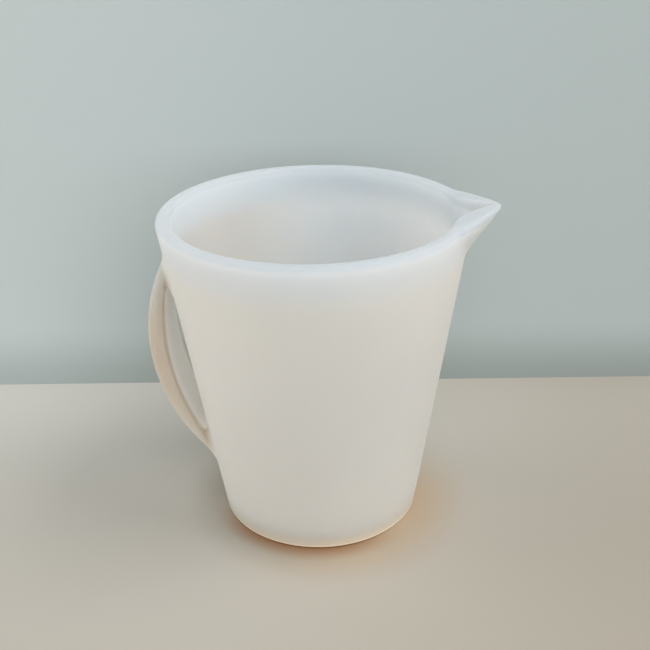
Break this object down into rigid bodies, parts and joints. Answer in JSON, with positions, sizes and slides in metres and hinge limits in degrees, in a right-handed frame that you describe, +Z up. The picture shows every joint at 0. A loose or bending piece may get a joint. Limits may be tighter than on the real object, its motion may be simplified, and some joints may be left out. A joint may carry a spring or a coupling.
{
  "type": "resin mixing cup",
  "caption": "Tapered silicone mixing cup with a rounded lip, a pointed pouring spout and a wide bow-shaped strap handle opposite the spout.",
  "frame": {"origin": "centre of the flat base, on the surface that the cup stands on", "axes": "+Z up along the cup's axis, +X towards the pouring spout, -X towards the handle, Y across"},
  "size_m": [0.1022, 0.0898, 0.0985],
  "materials": {
    "cup_silicone": "satin, milky and translucent",
    "handle_silicone": "satin, milky and translucent, warmer where light passes through"
  },
  "bodies": {
    "root": {"cup_floor": "cup_silicone", "cup_wall": "cup_silicone", "rim_lip": "cup_silicone", "pour_spout": "cup_silicone", "handle_grip": "handle_silicone", "upper_handle_root": "handle_silicone", "lower_handle_root": "handle_silicone"}
  },
  "joints": []
}
